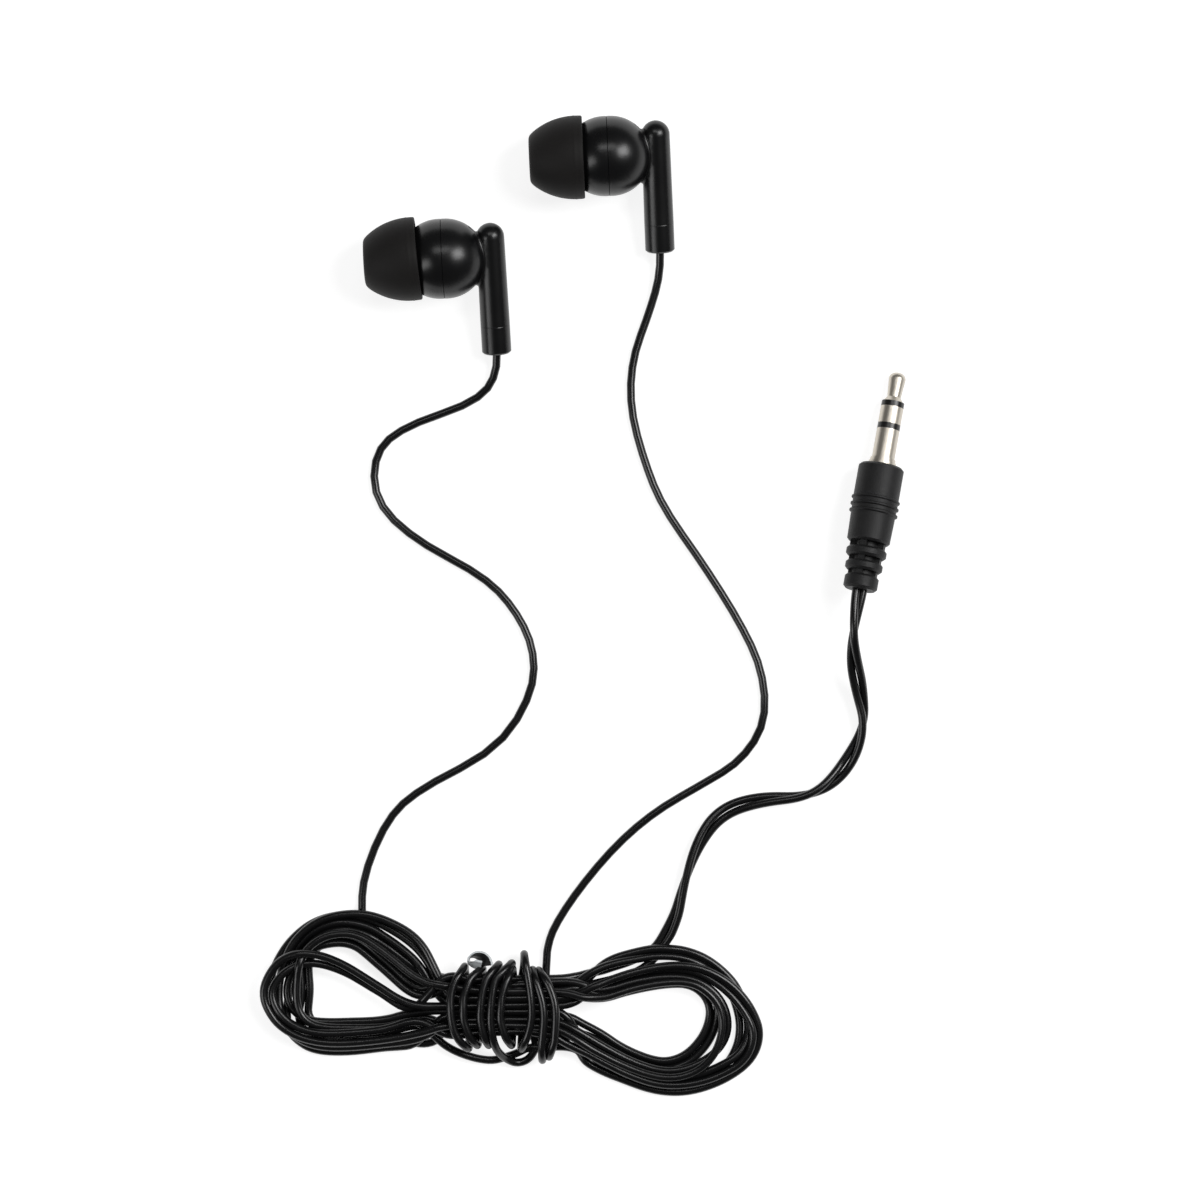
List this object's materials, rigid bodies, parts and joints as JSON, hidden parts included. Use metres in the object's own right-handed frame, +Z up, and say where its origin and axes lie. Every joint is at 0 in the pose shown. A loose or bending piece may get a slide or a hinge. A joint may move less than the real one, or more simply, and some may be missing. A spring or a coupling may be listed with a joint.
{
  "type": "wired earphones",
  "caption": "In-ear wired earphones with ball housings, straight stems and soft tips; thin cords coiled into a bound hank, ending in a straight 3.5 mm stereo plug.",
  "frame": {"origin": "bottom centre of the box around the two earbuds, on the table that the earphones lie on", "axes": "+Z up from the table, +Y from the hank towards the earbuds, +X to the right seen from above, against the way the ear tips point"},
  "size_m": [0.0989, 0.1492, 0.0127],
  "materials": {
    "tip_silicone": "matt silicone rubber",
    "shell_plastic": "black moulded ABS, soft gloss",
    "screen_steel": "perforated steel",
    "cord_pvc": "satin PVC",
    "enamelled_copper": "enamelled copper wire",
    "frame_plastic": "moulded frame",
    "damper_paper": "acoustic paper",
    "diaphragm_film": "clear polyester film",
    "magnet_steel": "zinc-plated steel",
    "magnet_metal": "nickel-plated magnet",
    "board": "glass-fibre board",
    "contact_nickel": "nickel-plated brass",
    "insulator_plastic": "hard plastic",
    "inner_mould_plastic": "hard moulding",
    "plug_pvc": "fine-textured soft PVC",
    "tie_plastic": "coated strip"
  },
  "bodies": {
    "root": {"binding_wraps": "cord_pvc", "cord_hank": "cord_pvc", "left_cord_knot": "cord_pvc", "left_cord_run": "cord_pvc", "left_damper": "damper_paper", "left_driver_cover": "screen_steel", "left_driver_frame": "frame_plastic", "left_front_shell": "shell_plastic", "left_inner_lead": "enamelled_copper", "left_magnet": "magnet_metal", "left_nozzle_screen": "screen_steel", "left_pole_plate": "magnet_steel", "left_rear_shell": "shell_plastic", "left_stem_sleeve": "shell_plastic", "left_terminal_board": "board", "left_yoke": "magnet_steel", "plug_front_insulator": "insulator_plastic", "plug_grip": "plug_pvc", "plug_inner_mould": "inner_mould_plastic", "plug_lead": "cord_pvc", "plug_lead_tails": "enamelled_copper", "plug_rear_insulator": "insulator_plastic", "plug_ring": "contact_nickel", "plug_sleeve": "contact_nickel", "plug_tip": "contact_nickel", "right_cord_knot": "cord_pvc", "right_cord_run": "cord_pvc", "right_damper": "damper_paper", "right_driver_cover": "screen_steel", "right_driver_frame": "frame_plastic", "right_front_shell": "shell_plastic", "right_inner_lead": "enamelled_copper", "right_magnet": "magnet_metal", "right_nozzle_screen": "screen_steel", "right_pole_plate": "magnet_steel", "right_rear_shell": "shell_plastic", "right_stem_sleeve": "shell_plastic", "right_terminal_board": "board", "right_yoke": "magnet_steel", "twist_tie": "tie_plastic"},
    "left_tip": {"left_ear_tip": "tip_silicone"},
    "right_tip": {"right_ear_tip": "tip_silicone"},
    "left_cone": {"left_diaphragm": "diaphragm_film", "left_voice_coil": "enamelled_copper"},
    "right_cone": {"right_diaphragm": "diaphragm_film", "right_voice_coil": "enamelled_copper"}
  },
  "joints": [
    {"name": "left_tip_pull", "type": "slide", "parent": "root", "child": "left_tip", "axis": [-0.9986, -0.0523, 0], "range_m": [0, 0.009]},
    {"name": "right_tip_pull", "type": "slide", "parent": "root", "child": "right_tip", "axis": [-0.999, -0.0436, 0], "range_m": [0, 0.009]},
    {"name": "left_cone_stroke", "type": "slide", "parent": "root", "child": "left_cone", "axis": [-0.9986, -0.0523, 0], "range_m": [-0.00015, 0.00015], "stiffness_N_per_m": 20},
    {"name": "right_cone_stroke", "type": "slide", "parent": "root", "child": "right_cone", "axis": [-0.999, -0.0436, 0], "range_m": [-0.00015, 0.00015], "stiffness_N_per_m": 20}
  ]
}
